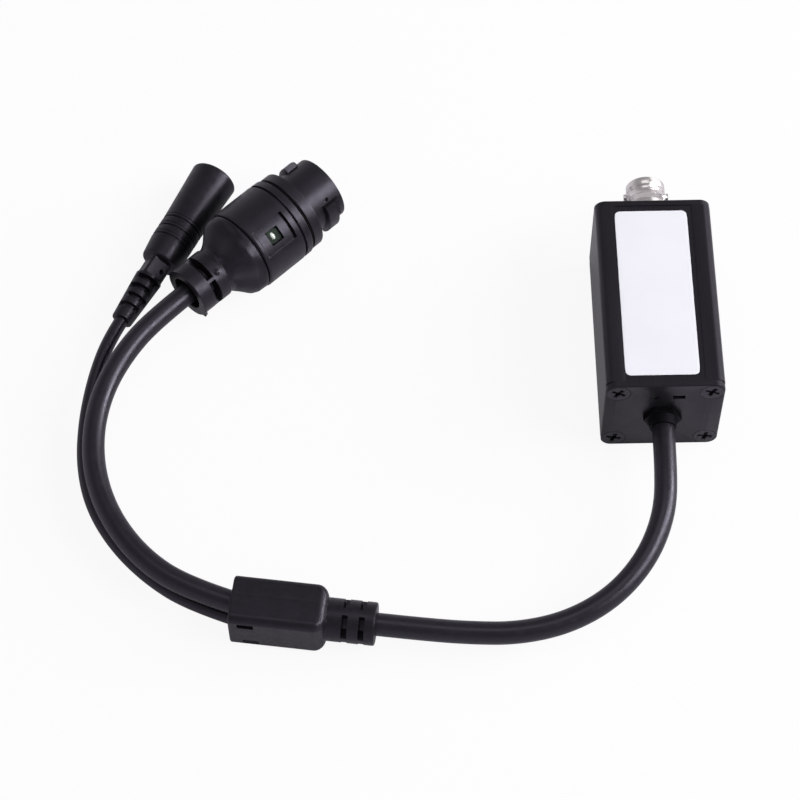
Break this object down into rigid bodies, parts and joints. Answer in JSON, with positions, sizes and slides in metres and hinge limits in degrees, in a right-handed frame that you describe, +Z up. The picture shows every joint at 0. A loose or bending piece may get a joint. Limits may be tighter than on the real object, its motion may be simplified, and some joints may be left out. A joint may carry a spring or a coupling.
{
  "type": "video signal converter",
  "caption": "Small black extruded box with a coaxial bayonet jack on one end, and a cable on the other that splits into a round network socket and a power jack.",
  "frame": {"origin": "below the middle of the box with its jack and its gland, on the surface that it stands on", "axes": "+Z up, +Y along the box towards the coaxial jack, +X to the right seen from the cable end"},
  "size_m": [0.1545, 0.1345, 0.027],
  "materials": {
    "black_anodised": "black anodised, fine brushed extrusion",
    "black_plate": "black painted plate",
    "black_screws": "blackened steel",
    "white_label": "satin white label",
    "green_board": "green solder mask",
    "black_chip": "moulded black",
    "steel_can": "drawn steel can",
    "aluminium_can": "aluminium can",
    "cream_plastic": "cream nylon",
    "core_jackets": "coloured insulation",
    "dark_plunger": "black plastic",
    "clear_lens": "smoked clear plastic",
    "black_moulding": "hard black plastic",
    "nickel": "nickel plate",
    "white_plastic": "white insulator",
    "gold_contact": "gold plate",
    "black_soft": "soft black moulding",
    "cable_jacket": "smooth black jacket"
  },
  "bodies": {
    "root": {"housing_sleeve": "black_anodised", "cable_end_plate": "black_plate", "coax_end_plate": "black_plate", "cable_end_screws": "black_screws", "coax_end_screws": "black_screws", "rating_label": "white_label", "circuit_board": "green_board", "video_chip": "black_chip", "network_chip": "black_chip", "network_transformer": "black_chip", "timing_crystal": "steel_can", "power_inductor": "black_chip", "filter_capacitor": "aluminium_can", "wire_header": "cream_plastic", "cable_cores": "core_jackets", "reset_switch": "black_chip", "status_light": "clear_lens", "cable_gland": "black_moulding", "coax_shell": "nickel", "coax_insulator": "white_plastic", "coax_contact": "gold_contact", "coax_nut": "nickel", "coax_washer": "nickel", "splitter": "black_soft", "network_shell": "black_moulding", "network_window": "clear_lens", "network_seal": "black_soft", "network_boot": "black_soft", "network_insert": "black_moulding", "network_contacts": "gold_contact", "power_overmould": "black_soft", "power_insert": "black_moulding", "power_pin": "nickel", "power_spring": "nickel", "main_cable": "cable_jacket", "network_cable": "cable_jacket", "power_cable": "cable_jacket"},
    "reset_button": {"reset_plunger": "dark_plunger"}
  },
  "joints": [
    {"name": "reset_press", "type": "slide", "parent": "root", "child": "reset_button", "axis": [0, 1, 0], "range_m": [0, 0.00025], "stiffness_N_per_m": 1000, "springref_m": -0.0005}
  ]
}
